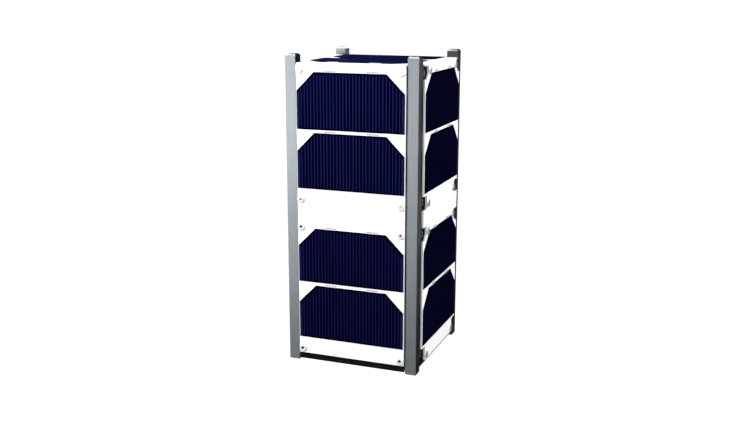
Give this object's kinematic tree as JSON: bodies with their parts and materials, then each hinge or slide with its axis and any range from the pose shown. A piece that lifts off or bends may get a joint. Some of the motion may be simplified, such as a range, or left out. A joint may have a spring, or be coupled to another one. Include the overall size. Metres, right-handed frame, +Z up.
{
  "type": "two-unit cube nanosatellite",
  "caption": "Boxy nanosatellite with corner rails, black ribs and white solar panels of dark blue cells on its sides and top",
  "frame": {"origin": "centre of the footprint, on the plane of the four rail feet", "axes": "+Z up along the rails, the longest side; +X right along the front panel, +Y away from the front panel"},
  "size_m": [0.1046, 0.1046, 0.227],
  "materials": {
    "rail": "hard anodised, satin grey",
    "frame": "black anodised, matt",
    "panel": "white solder mask on circuit board",
    "cell": "dark blue solar cell under cover glass",
    "screw": "bright steel",
    "plunger": "polished steel",
    "avionics": "plain, unseen"
  },
  "bodies": {
    "root": {"rail_front_left": "rail", "rail_front_right": "rail", "rail_back_left": "rail", "rail_back_right": "rail", "rib_front_bottom": "frame", "rib_front_mid_lower": "frame", "rib_front_mid_upper": "frame", "rib_front_top": "frame", "rib_back_bottom": "frame", "rib_back_mid_lower": "frame", "rib_back_mid_upper": "frame", "rib_back_top": "frame", "crossbar_left_bottom": "frame", "crossbar_left_mid_lower": "frame", "crossbar_left_mid_upper": "frame", "crossbar_left_top": "frame", "crossbar_right_bottom": "frame", "crossbar_right_mid_lower": "frame", "crossbar_right_mid_upper": "frame", "crossbar_right_top": "frame", "panel_front": "panel", "panel_right": "panel", "panel_back": "panel", "panel_left": "panel", "panel_top": "panel", "closing_plate": "frame", "cells_front": "cell", "cells_right": "cell", "cells_back": "cell", "cells_left": "cell", "cells_top": "cell", "panel_screws_front": "screw", "panel_screws_right": "screw", "panel_screws_back": "screw", "panel_screws_left": "screw", "frame_screws_right": "screw", "frame_screws_left": "screw", "plate_screws": "screw", "separation_plungers": "plunger", "switch_plungers": "plunger", "avionics_stack": "avionics"}
  },
  "joints": []
}
